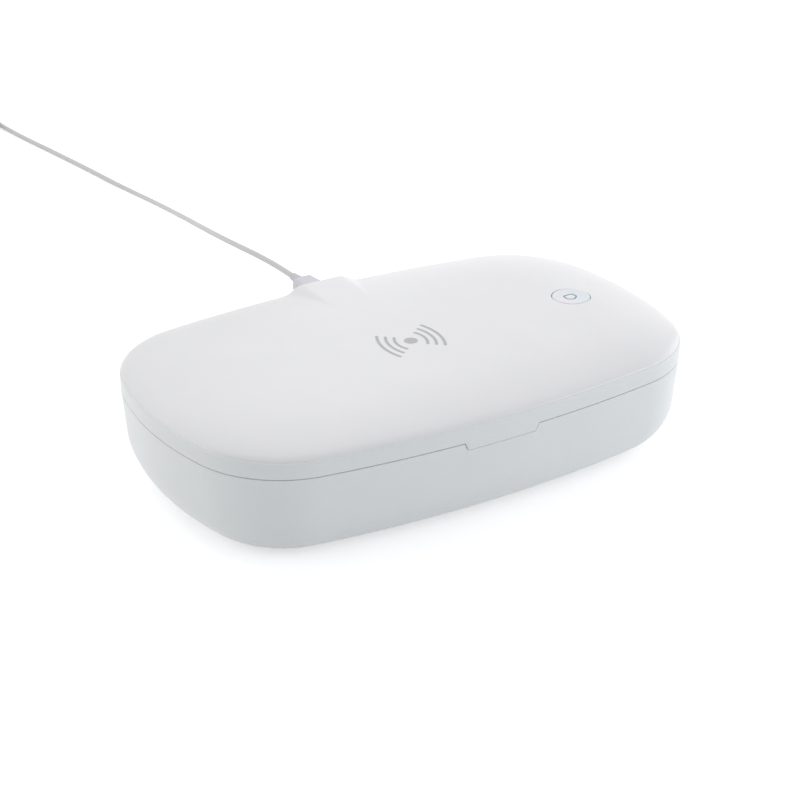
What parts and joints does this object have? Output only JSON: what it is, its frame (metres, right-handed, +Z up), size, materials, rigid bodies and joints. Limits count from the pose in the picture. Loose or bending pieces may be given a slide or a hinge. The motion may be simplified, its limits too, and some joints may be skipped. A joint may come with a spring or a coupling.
{
  "type": "phone sanitizer box",
  "caption": "Oval clamshell box that cleans a phone with ultraviolet lamps: hinged domed lid with a round button, wireless charging mark, and a charging lead plugged in at the rear",
  "frame": {"origin": "On the surface that the feet stand on, in the middle of the box's length and of its depth with the hinge; the charging lead is left out", "axes": "+X along the box's length to the user's right, where the button is; +Y away from the user to the hinge, the port and the lead; +Z up"},
  "size_m": [0.215, 0.5414, 0.0481],
  "materials": {
    "shell_white": "satin moulded white",
    "cover_white": "satin moulded white",
    "button_white": "satin, slightly translucent white",
    "liner_silver": "plastic with a vacuum-metallised, reflective face",
    "clear_plastic": "clear, polished",
    "magnet": "nickel plated",
    "foot_rubber": "matt light grey rubber",
    "screw_steel": "plain steel",
    "board_white": "white solder resist",
    "board_green": "green solder resist",
    "lamp_ceramic": "cream ceramic",
    "coil_copper": "enamelled copper",
    "dark_plastic": "matt black",
    "plated_steel": "nickel-plated sheet",
    "lead_white": "smooth soft white",
    "tie_grey": "soft light grey"
  },
  "bodies": {
    "base": {"base_shell": "shell_white", "phone_tray": "liner_silver", "phone_rest": "clear_plastic", "base_magnets": "magnet", "interlock_magnet": "magnet", "feet": "foot_rubber", "base_screws": "screw_steel", "hinge_pins": "screw_steel", "lead_stretch": "lead_white", "lead_coil": "lead_white", "lead_tie": "tie_grey", "lead_tail": "lead_white", "far_relief": "lead_white", "far_grip": "lead_white", "far_shell": "plated_steel", "far_tongue": "button_white"},
    "button": {"button_cap": "button_white", "switch_plunger": "button_white"},
    "lid": {"lid_frame": "shell_white", "lid_cover": "cover_white", "lid_insert": "liner_silver", "lid_screws": "screw_steel", "lid_magnets": "magnet", "lamp_boards": "board_white", "uv_lamps": "lamp_ceramic", "lamp_windows": "clear_plastic", "charging_coil": "coil_copper", "ferrite_disc": "dark_plastic", "control_board": "board_green", "port_socket": "plated_steel", "button_board": "board_green", "switch_body": "dark_plastic", "status_lights": "clear_plastic", "plug_grip": "lead_white", "plug_shell": "plated_steel", "bend_relief": "lead_white"}
  },
  "joints": [
    {"name": "lid_hinge", "type": "hinge", "parent": "base", "child": "lid", "pos_m": [0, 0.0673, 0.0366], "axis": [-1, 0, 0], "range_deg": [0, 95], "deforming": ["lead_stretch"]},
    {"name": "button_press", "type": "slide", "parent": "lid", "child": "button", "axis": [0, 0, -1], "range_m": [0, 0.0005], "stiffness_N_per_m": 1500, "springref_m": -0.0004}
  ]
}
